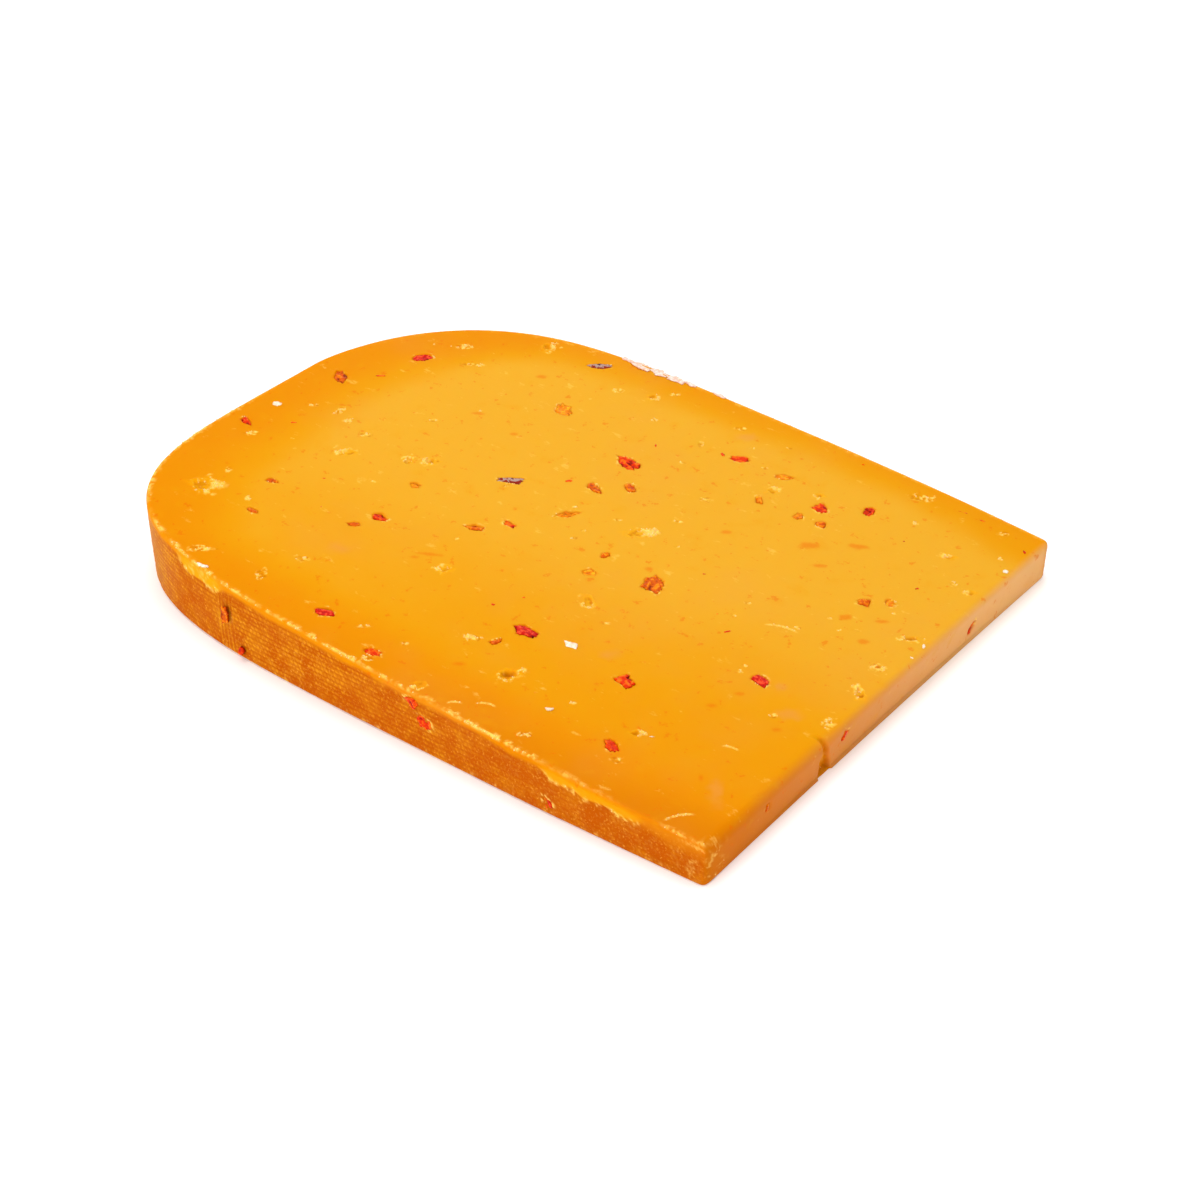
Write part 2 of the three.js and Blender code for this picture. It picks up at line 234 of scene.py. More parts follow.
def placed(name, data):
    """A new object in the scene, made from mesh, light or camera data."""
    made = bpy.data.objects.new(name, data)
    bpy.context.scene.collection.objects.link(made)
    return made


def new_object(name, points, faces, material):
    mesh = bpy.data.meshes.new(name)
    mesh.from_pydata((np.asarray(points) * MM).tolist(), [], faces, shade_flat=False)
    mesh.materials.append(material)
    mesh.update()
    return placed(name, mesh)


def set_attribute(piece, name, values):
    attribute = piece.data.attributes.new(name, "FLOAT", "POINT")
    attribute.data.foreach_set("value", np.asarray(values, np.float32))


def settle(piece, slot_name, replaced=None):
    """Hides the CAD node that a piece stands for, if one is given, and puts the piece on the body.
    slot_name is not used.
    """
    if replaced:
        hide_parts(replaced)
    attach(piece, "root")


# ---- the wedge's form

def cad_points(name):
    return np.array([v.co for v in frame["nodes"][name].data.vertices]) / MM


def upper_plane():
    """Slope and level of the upper face, from the CAD cheese's own points on it."""
    points = cad_points("cheese_wedge")
    faces = frame["nodes"]["cheese_wedge"].data.polygons
    up = [i for f in faces if f.normal.z > 0.995 and f.area > 2 * MM * MM for i in f.vertices]
    chosen = points[sorted(set(up))]
    chosen = chosen[chosen[:, 2] > HIGH[2] / 3]
    return np.polyfit(chosen[:, 0], chosen[:, 2], 1)


SLOPE, LEVEL = upper_plane()


def top_height(x):
    return LEVEL + SLOPE * x


def on_top(x, y):
    """Points of the plain upper face."""
    return np.column_stack([x, y, top_height(x)])


def rind_curve(t):
    """The rind seen from above: t runs from 0 at the near end of the cut, round the rim, to 1."""
    is_near = t < 0.5
    from_cut = np.where(is_near, 2 * t, 2 - 2 * t)
    pick = {key: np.where(is_near, NEAR[key], FAR[key]) for key in NEAR}
    along = np.clip(1 - 2 * from_cut, 0, 1)
    angle = np.clip(2 * from_cut - 1, 0, 1) * math.pi / 2
    reach = HALF_HEIGHT - pick["side"] * APEX_Y
    across = np.clip(np.cos(angle), 0, 1) ** (2 / pick["across_power"])
    rounded_x = SHOULDER_X - RIM_DEPTH * np.sin(angle) ** (2 / pick["along_power"])
    rounded_y = APEX_Y + pick["side"] * reach * across
    flat_x = SHOULDER_X + (CUT_X - SHOULDER_X) * along
    flat_y = pick["side"] * (HALF_HEIGHT - pick["draw_in"] * along ** 2)
    x = np.where(from_cut < 0.5, flat_x, rounded_x)
    y = np.where(from_cut < 0.5, flat_y, rounded_y)
    askew = ((x - NOSE_X) / LENGTH) ** 4
    return np.stack([x + CUT_SKEW * askew * y / HALF_HEIGHT, y], 1)


def evenly(points, step):
    """Points along a line, about one step apart, with both ends kept."""
    lengths = np.linalg.norm(np.diff(points, axis=0), axis=1)
    far = np.concatenate([[0], np.cumsum(lengths)])
    marks = np.linspace(0, far[-1], int(round(far[-1] / step)) + 1)
    return np.stack([np.interp(marks, far, points[:, axis]) for axis in range(2)], 1)


def cut_steps(far_corner, near_corner):
    """Points along the straight cut, closer together at the chip, without its two ends."""
    y, marks = far_corner[1], []
    while y > near_corner[1] + CUT_STEP:
        y -= CUT_STEP - (CUT_STEP - 0.16) * smooth(abs(y - CHIP_Y), 5, 3)
        marks.append(y)
    share = (far_corner[1] - np.array(marks)[:-1]) / (far_corner[1] - near_corner[1])
    return far_corner + share[:, None] * (near_corner - far_corner)


def wall_columns():
    """The closed outline: points, outward directions, distance along it, and 1 on the straight cut."""
    rind = evenly(rind_curve(np.linspace(0, 1, 40001)), COLUMN_STEP)
    cut = cut_steps(rind[-1], rind[0])
    points = np.concatenate([rind, cut])
    on_cut = np.concatenate([np.zeros(len(rind)), np.ones(len(cut))])
    for _ in range(8):
        points = (np.roll(points, 1, 0) + 2 * points + np.roll(points, -1, 0)) / 4
        on_cut = (np.roll(on_cut, 1) + 2 * on_cut + np.roll(on_cut, -1)) / 4
    along = np.roll(points, -1, 0) - np.roll(points, 1, 0)
    along /= np.linalg.norm(along, axis=1)[:, None]
    outward = np.stack([-along[:, 1], along[:, 0]], 1)
    steps = np.linalg.norm(np.roll(points, -1, 0) - points, axis=1)
    distance = np.concatenate([[0], np.cumsum(steps)[:-1]])
    return points, outward, distance, on_cut


# ---- broken chips

def cross(first, second):
    return first[..., 0] * second[..., 1] - first[..., 1] * second[..., 0]


def chip_corners(seed):
    """Corners of a broken chip that fits a circle of radius 1."""
    draw = np.random.default_rng(seed)
    count = int(draw.integers(4, 8))
    angles = (np.arange(count) + 0.5 + draw.uniform(-0.3, 0.3, count)) * 2 * math.pi / count
    radii = draw.uniform(0.8, 1.12, count)
    return np.stack([radii * np.cos(angles), radii * np.sin(angles)], 1)


def chip_reach(angle, seed):
    """How far a chip of radius 1 reaches from its middle in each direction."""
    corners = chip_corners(seed)
    edge = np.roll(corners, -1, 0) - corners
    ray = np.stack([np.cos(angle), np.sin(angle)], 1)[:, None]
    facing = cross(ray, edge)
    facing = np.where(np.abs(facing) < 1e-9, 1e-9, facing)
    far = cross(corners, edge) / facing
    part = cross(corners, ray) / facing
    hits = (far > 0) & (part > -1e-6) & (part < 1 + 1e-6)
    ring = np.stack([2 * np.cos(angle), 2 * np.sin(angle), np.full(len(angle), seed * 5.3)], 1)
    return np.where(hits, far, 0).max(1) * (1 + 0.34 * rough(ring, 0.5, 63))


def chip_gap(u, w, chip):
    """How far outside a chip's outline each point of its plane is. It is below 0 inside."""
    along, across = u / chip["half_long"], w / chip["half_short"]
    away = np.hypot(along, across)
    reach = chip_reach(np.arctan2(across, along), chip["seed"])
    return (away - reach) * np.hypot(u, w) / np.maximum(away, 1e-6)


def chip_mesh(chip, depth, step, relief):
    """Points, faces, folds and sides of a crumpled chip, from its place, its half sizes and its seed."""
    half_long, half_short, seed = chip["half_long"], chip["half_short"], chip["seed"]
    angle = np.linspace(0, 2 * math.pi, 361)
    reach = chip_reach(angle, seed)
    ring = np.stack([reach * np.cos(angle) * half_long, reach * np.sin(angle) * half_short], 1)
    outline = evenly(ring, step)[:-1]
    x, y = hexagonal(step, (-half_long, -half_short), (half_long, half_short))
    kept = chip_gap(x, y, chip) < -0.6 * step
    inner = np.stack([x[kept], y[kept]], 1)
    flat = np.concatenate([outline, inner])
    u, w = flat.T
    inside = np.clip(-chip_gap(u, w, chip), 0, None)
    wave = np.stack([u * 0.6, w * 1.3, np.full(len(u), seed * 3.7)], 1)
    folds = 1 - 2.6 * np.abs(rough(wave, 1.5, 61))
    curl = 0.16 * np.sin(seed * 1.7 + 2.2 * w / half_short) - 0.1
    rise = relief * (0.16 * folds + curl + 0.07 * rough(wave, 0.6, 62)) - 0.12 * smooth(inside, 0.18, 0)
    count, base = len(outline), len(flat)
    low = np.column_stack([outline * 0.86, np.full(count, -depth)])
    faces = fill(outline, inner)
    faces += [((i + 1) % count, i, base + i, base + (i + 1) % count) for i in range(count)]
    faces.append(tuple(base + i for i in reversed(range(count))))
    axes = np.stack([chip["long"], chip["short"], chip["normal"]])
    points = chip["middle"] + np.concatenate([np.column_stack([flat, rise]), low]) @ axes
    # Fold heights, which the chilli skin turns into painted shade in the folds and a painted highlight on
    # the ridges; the chip's sides get the darkest.
    fold = np.concatenate([folds, np.full(count, -1)])
    side = np.concatenate([w / half_short, outline[:, 1] / half_short])
    return points, faces, fold, side


def flat_chip(x, y, height, length, width, turn, seed):
    """A chip that lies in the upper face: its middle, directions, half sizes and seed."""
    c, s = cos_sin(turn)
    normal = unit(np.array([-SLOPE, 0, 1.0]))
    long_way = unit(np.array([c, s, SLOPE * c]))
    return {
        "middle": np.array([x, y, height]),
        "long": long_way,
        "short": np.cross(normal, long_way),
        "normal": normal,
        "half_long": length / 2,
        "half_short": width / 2,
        "seed": seed,
    }


# ---- flakes, read from the frame

def outward_of(point):
    """The direction out of the nearest face of the wedge: up, out of the cut, or out of the near rind."""
    depths = (top_height(point[0]) - point[2], CUT_X - point[0], point[1] + HALF_HEIGHT)
    return np.array(((0, 0, 1.0), (1.0, 0, 0), (0, -1.0, 0))[np.argmin(depths)])


def flake_place(name):
    """The middle of a CAD flake's outer face, its three directions and its half sizes."""
    points = cad_points(name)
    middle = points.mean(0)
    outer = outward_of(middle)
    faces = sorted(frame["nodes"][name].data.polygons, key=lambda face: -face.area)[:8]
    normal = unit(max((np.array(face.normal) for face in faces), key=lambda n: n @ outer))
    flat = points - middle
    deep = np.abs(flat @ normal).max()
    flat = flat - np.outer(flat @ normal, normal)
    long_way = np.linalg.svd(flat, full_matrices=False)[2][0]
    short_way = np.cross(normal, long_way)
    in_top = normal[2] > 0.9
    return {
        "middle": middle + normal * deep,
        "normal": normal,
        "long": long_way,
        "short": short_way,
        "half_long": 1.15 * np.abs(flat @ long_way).max(),
        "half_short": (1.2 if in_top else 1.35) * np.abs(flat @ short_way).max(),
        "seed": int(name[-2:]),
        "in_top": in_top,
    }


FLAKES = {name: flake_place(name) for name in sorted(frame["nodes"]) if name.startswith("chilli_flake")}
TOP_FLAKES = [flake for flake in FLAKES.values() if flake["in_top"]]
WALL_FLAKES = [flake for flake in FLAKES.values() if not flake["in_top"]]


# ---- surface detail

def small_tears():
    """A scatter of small tears, clear of the named marks."""
    found = []
    while len(found) < SMALL_TEARS:
        x, y = RANDOM.uniform(NOSE_X + 14, CUT_X - 6), RANDOM.uniform(-53, 53)
        size = RANDOM.uniform(0.6, 1.2)
        clear = all(math.hypot(x - mark[0], y - mark[1]) > 6 for mark in [*EYES, *TEARS])
        if clear and (x > -45 or abs(y) < 35):
            found.append((x, y, size * 1.5, size * 0.8, ALONG + RANDOM.uniform(-25, 25)))
    return found


ALL_TEARS = TEARS + small_tears()


def local(x, y, mark):
    """x and y from the middle of a mark, in its own directions."""
    c, s = cos_sin(mark[4])
    dx, dy = x - mark[0], y - mark[1]
    return dx * c + dy * s, dy * c - dx * s


def raise_to(values, near, amount):
    """Lifts some of the values to at least the given amounts."""
    values[near] = np.maximum(values[near], amount)


def around(x, y, mark, margin):
    """Which points are near a mark, and where they are in its own directions."""
    u, w = local(x, y, mark)
    near = np.flatnonzero((np.abs(u) < mark[2] / 2 + margin) & (np.abs(w) < mark[3] / 2 + margin))
    return near, u[near], w[near]


def blank_detail(count):
    """How far each point stands out from the plain form, and each field, all 0 to start with."""
    return {name: np.zeros(count) for name in ("rise", *FIELDS)}


def add_eye(x, y, eye, detail, number):
    """Sinks one eye, with a floor of lumps, and heaps pale crumbs along one side of its edge."""
    near, u, w = around(x, y, eye, 1.8)
    ragged = 1 + 0.7 * flat_noise(u, w, max(eye[3] * 0.45, 0.6), 11 + number)
    radius = np.hypot(u / (eye[2] / 2), w / (eye[3] / 2)) * ragged
    grain = flat_noise(u, w, 0.6, 31 + number)
    sided = 0.5 * np.cos(np.arctan2(w, u) - 2.4 * number)
    inside = smooth(radius, 0.85, 0.5)
    ring = smooth(radius, 0.2, 0.7) * smooth(radius, 1.4, 0.9)
    detail["rise"][near] += -eye[5] * inside * (0.85 + 0.6 * grain) + ring * (0.05 + 0.18 * grain)
    raise_to(detail["crumb"], near, ring * smooth(grain + sided, -0.05, 0.4))
    raise_to(detail["fresh"], near, 0.6 * smooth(radius, 1.4, 0.8))
    # Darker inside the eye, more so for deeper eyes: painted shade.
    raise_to(detail["painted_hollow_shade"], near, inside * smooth(grain - sided, -0.1, 0.4) * min(1, 0.4 + 0.7 * eye[5]))


def add_tear(x, y, tear, detail, number):
    """Roughens one tear and lifts its pale crumbs."""
    near, u, w = around(x, y, tear, 1.0)
    ragged = 1 + 0.6 * flat_noise(u, w, 0.9, 131 + number)
    radius = np.hypot(u / (tear[2] / 2), w / (tear[3] / 2)) * ragged
    grain = flat_noise(u, w, 0.55, 151 + number)
    inside = smooth(radius, 1.1, 0.7)
    detail["rise"][near] += inside * 0.2 * (grain - 0.15)
    raise_to(detail["crumb"], near, inside * smooth(grain, -0.15, 0.25))
    # Darker in the tear's lowest spots: painted shade.
    raise_to(detail["painted_hollow_shade"], near, inside * smooth(grain, -0.2, -0.5) * 0.7)


def add_soft_patch(x, y, patch, values, number):
    """Colours one soft patch, with no edge and no relief."""
    near, u, w = around(x, y, patch, 1.5)
    ragged = 1 + 0.5 * flat_noise(u, w, 1.2, 171 + number)
    radius = np.hypot(u / (patch[2] / 2), w / (patch[3] / 2)) * ragged
    raise_to(values, near, smooth(radius, 1.3, 0.5))


def add_scratch(x, y, scratch, detail):
    """Scores one fine bowed line and lifts a pale lip beside it."""
    near, u, w = around(x, y, scratch, 1.1)
    half = scratch[2] / 2
    off = w - scratch[5] * (1 - (u / half) ** 2)
    lip = np.abs(off - 0.15)
    fade = smooth(np.abs(u), half, half * 0.6) * smooth(flat_noise(u, w, 1.4, 181), -0.6, 0)
    detail["rise"][near] += fade * (0.08 * smooth(lip, 0.3, 0) - 0.12 * smooth(np.abs(off), 0.2, 0))
    raise_to(detail["crumb"], near, 0.8 * fade * smooth(lip, 0.32, 0.1))


def flake_bed(points, flake, detail):
    """Sinks the bed of one flake in a face, with a crumbly lip on one side, darkens the bed with painted
    shade, and stains the paste.
    """
    u, w, n = ((points - flake["middle"]) @ flake[key] for key in ("long", "short", "normal"))
    near = np.flatnonzero((np.hypot(u, w) < flake["half_long"] + 1.6) & (np.abs(n) < 1.5))
    u, w = u[near], w[near]
    gap = chip_gap(u, w, flake)
    bed = smooth(gap, 0.14, -0.1)
    lip = smooth(gap, 0.08, 0.2) * smooth(gap, 0.8, 0.3)
    grain = flat_noise(u, w, 0.5, 91 + flake["seed"])
    side = smooth(flat_noise(u, w, 2.4, 111 + flake["seed"]), 0.0, 0.4)
    depth = 0.8 if flake["in_top"] else 0.15
    detail["rise"][near] += -depth * bed + 0.12 * lip * side * (0.4 + grain)
    raise_to(detail["crumb"], near, lip * side * smooth(grain, -0.1, 0.3))
    # Darker in the sunk bed: painted shade.
    raise_to(detail["painted_hollow_shade"], near, bed)
    raise_to(detail["stain"], near, smooth(gap, 0.7, 0.0) * 0.7)


def top_detail(x, y):
    """How far the upper face rises at each point, how crumbly and coloured it is there, and its painted
    shade in hollows.
    """
    detail = blank_detail(len(x))
    detail["rise"] += 0.16 * flat_noise(x, y, 38, 3) + 0.05 * flat_noise(x, y, 11, 5)
    for number, eye in enumerate(EYES):
        add_eye(x, y, eye, detail, number)
    for number, tear in enumerate(ALL_TEARS):
        add_tear(x, y, tear, detail, number)
    for number, patch in enumerate(OIL_PATCHES):
        add_soft_patch(x, y, patch, detail["stain"], number)
    for number, patch in enumerate(BRUISES):
        add_soft_patch(x, y, patch, detail["bruise"], number + 40)
    for scratch in SCRATCHES:
        add_scratch(x, y, scratch, detail)
    points = on_top(x, y)
    for flake in TOP_FLAKES:
        flake_bed(points, flake, detail)
    return detail


def print_height(points, distance):
    """Height from 0 to 1 of the cheesecloth's print: rows of small bumps, and ridges at its seam."""
    x, y, z = points.T
    across = distance / PRINT_PITCH + 0.35 * rough(points, 7, 15)
    up = z / PRINT_PITCH + 0.3 * rough(points * (1, 1, 0.3), 14, 16)
    row = np.floor(up)
    shift = 0.5 * (row % 2)
    cell = np.stack([np.floor(across + shift + 0.5), row, row * 0], 1).astype(np.int64)
    strength = 0.35 + 0.65 * lattice_value(cell, 5)
    along = 0.5 + 0.5 * np.cos(2 * math.pi * (across + shift))
    rows = 0.5 - 0.5 * np.cos(2 * math.pi * up)
    bumps = strength * (0.35 + 0.65 * along) * rows ** 0.8
    ridges = 0.75 * (0.5 + 0.5 * np.cos(2 * math.pi * across)) * (0.6 + 0.4 * rows)
    seam = smooth(abs(x - SEAM_X), SEAM_HALF_WIDTH, SEAM_HALF_WIDTH - 0.6) * smooth(y, 0, -20)
    return bumps + (ridges - bumps) * seam


def chip_inside(y, z):
    """1 where the straight cut has lost its chip: a gap that narrows from the foot to the top."""
    height = z / top_height(CUT_X)
    ragged = 0.35 * rough(np.stack([y * 0, y * 0, z], 1), 2.2, 17)
    left = CHIP_Y - 1.5 + 0.3 * height + ragged
    right = CHIP_Y + 2.6 - 2.7 * height ** 1.2 + 0.6 * ragged
    return smooth(y, left - 0.1, left + 0.25) * smooth(y, right + 0.3, right - 0.1)


def wall_detail(points, distance, on_cut, below_top):
    """How far the wall stands out at each point, and its print, rind, crumbs and colours."""
    x, y, z = points.T
    on_rind = 1 - on_cut
    near_side = smooth(y, 0, -20)
    grain = rough(points, 0.7, 26)
    jagged = 0.7 * rough(points, 2.4, 23)
    smear = smooth(x, 40, 44) * smooth(x, 64, 60) * near_side
    scraped = smooth(x, -51, -47) * smooth(x, -35, -38) * near_side
    torn = np.maximum(smear, scraped)
    blended = smooth(x, 56, 68) * near_side
    strip = 0.3 + 0.8 * noise(points, 9, 21) + 0.6 * noise(points, 2.5, 22) + 1.2 * blended
    strip = strip + smear * (1.0 + jagged) + scraped * (1.8 + jagged)
    soft = 0.5 - 0.35 * torn + 1.4 * blended
    rind = on_rind * smooth(below_top, strip - soft, strip + soft)
    worn_end = 1 - 0.65 * smooth(x, 8, 45) * near_side
    wear = worn_end * (0.6 + 0.4 * smooth(noise(points, 7, 24), 0.2, 0.6))
    printed = print_height(points, distance) * (wear * (0.7 + 0.5 * noise(points, 1.6, 25)))
    out = rind * (PRINT_DEPTH * printed + 0.07 * grain) + on_rind * (0.22 * rough(points, 19, 27) - 0.06)
    out += 0.15 * smear * smooth(below_top, strip + 0.2, strip - 0.4) * (1 + grain)
    out += scraped * smooth(below_top, strip + 0.3, strip - 0.3) * (0.3 * rough(points, 1.1, 28) - 0.12)
    hollow = CUT_BOW * (1 - (y / HALF_HEIGHT) ** 2) * np.clip(1 - z / top_height(CUT_X), 0, 1)
    chip = chip_inside(y, z) * on_cut
    out -= on_cut * hollow + chip * CHIP_DEPTH * (0.75 + 0.35 * rough(points, 1.3, 29))
    out += on_cut * 0.06 * rough(points, 9, 30)
    torn_edge = smooth(np.abs(below_top - strip), 0.9, 0.2) * torn
    scraped_skin = scraped * smooth(below_top, strip + 0.5, strip - 0.3)
    crumb = np.maximum(0.8 * torn_edge, 0.5 * scraped_skin) * smooth(grain, -0.1, 0.35)
    foot_crumbs = smooth(z, 1.6, 0.3) * smooth(rough(points, 0.8, 33), 0.2, 0.5) * on_rind
    worn_crumbs = 0.2 * (1 - worn_end) * rind * smooth(rough(points, 0.45, 35), 0.15, 0.6)
    corner = smooth(x, 66, 75) * smooth(y, -51, -58) * smooth(rough(points, 0.8, 36), 0.15, 0.5)
    chip_crumb = 0.2 * chip * smooth(rough(points, 0.7, 34), 0.0, 0.5)
    crumb = np.max([crumb, 0.6 * foot_crumbs, worn_crumbs, 0.5 * corner, chip_crumb], axis=0)
    fresh_smear = 0.7 * smear * smooth(below_top, strip + 0.2, strip - 0.6)
    detail = blank_detail(len(x))
    detail.update(rise=out, print=printed * rind, rind=rind, crumb=crumb, stain=chip)
    detail["fresh"] = np.maximum(0.85 * scraped_skin, fresh_smear)
    for flake in WALL_FLAKES:
        flake_bed(points, flake, detail)
    return detail


def rim_burr(points, on_cut):
    """The ragged pale burr that the knife left along the upper edge of the rind."""
    x, y, _ = points.T
    near_side = smooth(y, 10, -30) * smooth(x, 62, 36)
    corner = smooth(x, 64, 70) * smooth(y, -50, -57)
    far_side = 0.35 * smooth(y, 20, 40)
    present = np.max([near_side, far_side, 0.8 * corner], axis=0) * (1 - on_cut)
    broken = smooth(rough(points, 3.4, 41), -0.55, 0.3) * smooth(rough(points, 0.6, 42), -0.4, 0.25)
    return np.clip(present * broken, 0, 1)


# ---- the cheese

def wall_points(base, outward, on_cut):
    """The wall's points, column by column from its foot to the upper edge.

    With them come the column of each, how far each has rolled over into the upper face, where each column
    starts, and how many of its points stand below the rolled edge.
    """
    roll = RIND_ROLL + (CUT_ROLL - RIND_ROLL) * on_cut
    roll = roll - 0.7 * on_cut * smooth(base[:, 1], CHIP_Y, CHIP_Y + 5)
    turns = np.linspace(0, math.pi / 2, FOOT_ROWS)
    foot = [(FOOT * (1 - math.sin(a)), FOOT * (1 - math.cos(a))) for a in turns]
    over = [(1 - math.cos(a), math.sin(a)) for a in np.linspace(0, math.pi / 2, ROLL_ROWS + 1)]
    points, owner, upper, starts, lowers = [], [], [], [], []
    for k, head in enumerate(top_height(base[:, 0]) - roll):
        lower = foot + [(0.0, z) for z in np.arange(FOOT + ROW_STEP, head - 0.4 * ROW_STEP, ROW_STEP)]
        starts.append(len(points))
        lowers.append(len(lower))
        points += [(*(base[k] - outward[k] * inset), z) for inset, z in lower]
        for inset, high in over:
            spot = base[k] - outward[k] * (roll[k] * inset)
            points.append((*spot, top_height(spot[0]) - roll[k] * (1 - high)))
        owner += [k] * (len(lower) + len(over))
        upper += [0.0] * len(lower) + [high for _, high in over]
    return np.array(points), np.array(owner), np.array(upper), starts, lowers


def ladder(first, second, count):
    """Four-sided faces between two columns of points, from the given point of each up."""
    return [(first + i, first + i + 1, second + i + 1, second + i) for i in range(count)]


def wall_faces(starts, lowers):
    """Faces between neighbouring columns, with one of more sides where a column is a row longer."""
    faces = []
    for k, first in enumerate(starts):
        after = (k + 1) % len(starts)
        second = starts[after]
        common = min(lowers[k], lowers[after]) - 1
        left = list(range(first + common, first + lowers[k] + 1))
        right = list(range(second + common, second + lowers[after] + 1))
        faces += ladder(first, second, common)
        faces.append(tuple(left + right[::-1]))
        faces += ladder(first + lowers[k], second + lowers[after], ROLL_ROWS)
    return faces


class EdgeDistance:
    """How far inside an outline a point is, from a 1 mm grid."""

    def __init__(self, outline):
        self.x = np.arange(LOW[0] - 2, HIGH[0] + 3)
        self.y = np.arange(LOW[1] - 2, HIGH[1] + 3)
        grid = np.stack(np.meshgrid(self.x, self.y, indexing="ij"), -1)
        self.values = np.zeros(grid.shape[:2])
        following = np.roll(outline, -1, 0)
        for i, row in enumerate(grid):
            gap = np.linalg.norm(row[:, None] - outline[None], axis=2).min(1)
            self.values[i] = np.where(self.inside(row, outline, following), gap, -gap)

    @staticmethod
    def inside(points, outline, following):
        """Counts how often a line to the right of each point crosses the outline."""
        px, py = points[:, 0, None], points[:, 1, None]
        (x, y), (next_x, next_y) = outline.T, following.T
        rise = np.where(next_y == y, 1, next_y - y)
        crossed = ((y > py) != (next_y > py)) & (px < x + (py - y) * (next_x - x) / rise)
        return crossed.sum(1) % 2 == 1

    def __call__(self, x, y):
        u = np.clip(x - self.x[0], 0, len(self.x) - 1.001)
        v = np.clip(y - self.y[0], 0, len(self.y) - 1.001)
        i, j = u.astype(int), v.astype(int)
        u, v = u - i, v - j
        low = self.values[i, j] * (1 - v) + self.values[i, j + 1] * v
        high = self.values[i + 1, j] * (1 - v) + self.values[i + 1, j + 1] * v
        return low * (1 - u) + high * u


def wanted_step(x, y, depth):
    """How close together the points of the upper face need to be at x and y."""
    wanted = LEVELS[1] + GROWTH * np.clip(depth, 0, None)
    groups = ((EYES, FINE_STEP, 0.6), (ALL_TEARS, TEAR_STEP, 0.2), (OIL_PATCHES, LEVELS[1], 0.2))
    for group, step, margin in (*groups, (SCRATCHES, FINE_STEP, 0)):
        for mark in group:
            u, w = local(x, y, mark)
            away = np.maximum(np.abs(u) - mark[2] / 2, np.abs(w) - mark[3] / 2) - margin
            wanted = np.minimum(wanted, step + GROWTH * np.clip(away, 0, None))
    points = on_top(x, y)
    for flake in TOP_FLAKES:
        u, w = ((points - flake["middle"]) @ flake[key] for key in ("long", "short"))
        from_edge = np.abs(np.hypot(u / flake["half_long"], w / flake["half_short"]) - 0.9)
        away = from_edge * flake["half_short"] - 0.4
        wanted = np.minimum(wanted, FINE_STEP + GROWTH * np.clip(away, 0, None))
    return np.clip(wanted, LEVELS[0], None)


def hexagonal(step, low, high):
    """The x and y of points in rows, each row shifted by half a step from the last."""
    x = np.arange(low[0], high[0], step)
    y = np.arange(low[1], high[1], step * math.sqrt(3) / 2)
    grid_x, grid_y = np.meshgrid(x, y)
    grid_x = grid_x + (np.arange(len(y)) % 2 * step / 2)[:, None]
    return grid_x.ravel(), grid_y.ravel()


def inner_points(depth_at):
    """Points inside the outline: close together at marks, flakes and the edge, wide apart elsewhere."""
    kept = []
    for step, upper in zip(LEVELS, (*LEVELS[1:], math.inf)):
        x, y = hexagonal(step, LOW, HIGH)
        depth = depth_at(x, y)
        inside = depth > 0.45 * step + 0.1
        x, y, depth = x[inside], y[inside], depth[inside]
        wanted = wanted_step(x, y, depth)
        chosen = (wanted >= step) & (wanted < upper)
        kept.append(np.stack([x[chosen], y[chosen]], 1))
    return np.concatenate(kept)


def fill(outline, inner):
    """Triangles that fill an outline through its inner points, as indices into both together."""
    together = [Vector(p) for p in np.concatenate([outline, inner])]
    count = len(outline)
    edges = [(i, (i + 1) % count) for i in range(count)]
    result = geometry.delaunay_2d_cdt(together, edges, [], 1, 1e-6)
    sources = [original[0] for original in result[3]]
    return [tuple(sources[i] for i in face) for face in result[2]]


def detailed_wall():
    """The wall's points with their detail, the fields there, and the starts and lowers of its columns."""
    base, outward, distance, on_cut = wall_columns()
    points, owner, upper, starts, lowers = wall_points(base, outward, on_cut)
    x, y, z = points.T
    on_cut = on_cut[owner]
    wall = wall_detail(points, distance[owner], on_cut, top_height(x) - z)
    top = top_detail(x, y)
    burr = rim_burr(points, on_cut) * smooth(upper, 0.55, 0.95)
    chip = chip_inside(y, z) * on_cut
    fields = {name: np.maximum(wall[name] * (1 - upper), top[name] * upper) for name in FIELDS}
    fields["crumb"] = np.maximum(fields["crumb"], burr)
    # Where the straight cut takes its painted shade and painted reflection, clear of the chip.
    fields["cut"] = on_cut * (1 - upper ** 2) * (1 - chip)
    keep = (1 - upper ** 2) * (0.2 + 0.8 * smooth(z, 0, FOOT))
    push = wall["rise"] * keep - chip * CHIP_DEPTH * 0.5 * upper ** 2
    points[:, :2] += outward[owner] * push[:, None]
    points[:, 2] += top["rise"] * upper ** 3 + 0.12 * burr
    return points, fields, starts, lowers


def detailed_top(outline):
    """Points inside the upper face's outline with their detail, the fields there, and its triangles."""
    depth_at = EdgeDistance(outline)
    inner = inner_points(depth_at)
    x, y = inner.T
    detail = top_detail(x, y)
    burr = rim_burr(on_top(x, y), smooth(x, CUT_X - 6, CUT_X - 4))
    ragged = 0.6 * flat_noise(x, y, 1.8, 43) + 0.3 * flat_noise(x, y, 0.5, 44) - 0.1
    burr = burr * smooth(depth_at(x, y) - ragged, 0.55, 0.25)
    detail["crumb"] = np.maximum(detail["crumb"], burr)
    points = np.column_stack([inner, top_height(x) + detail["rise"] + 0.12 * burr])
    return points, detail, fill(outline, inner)


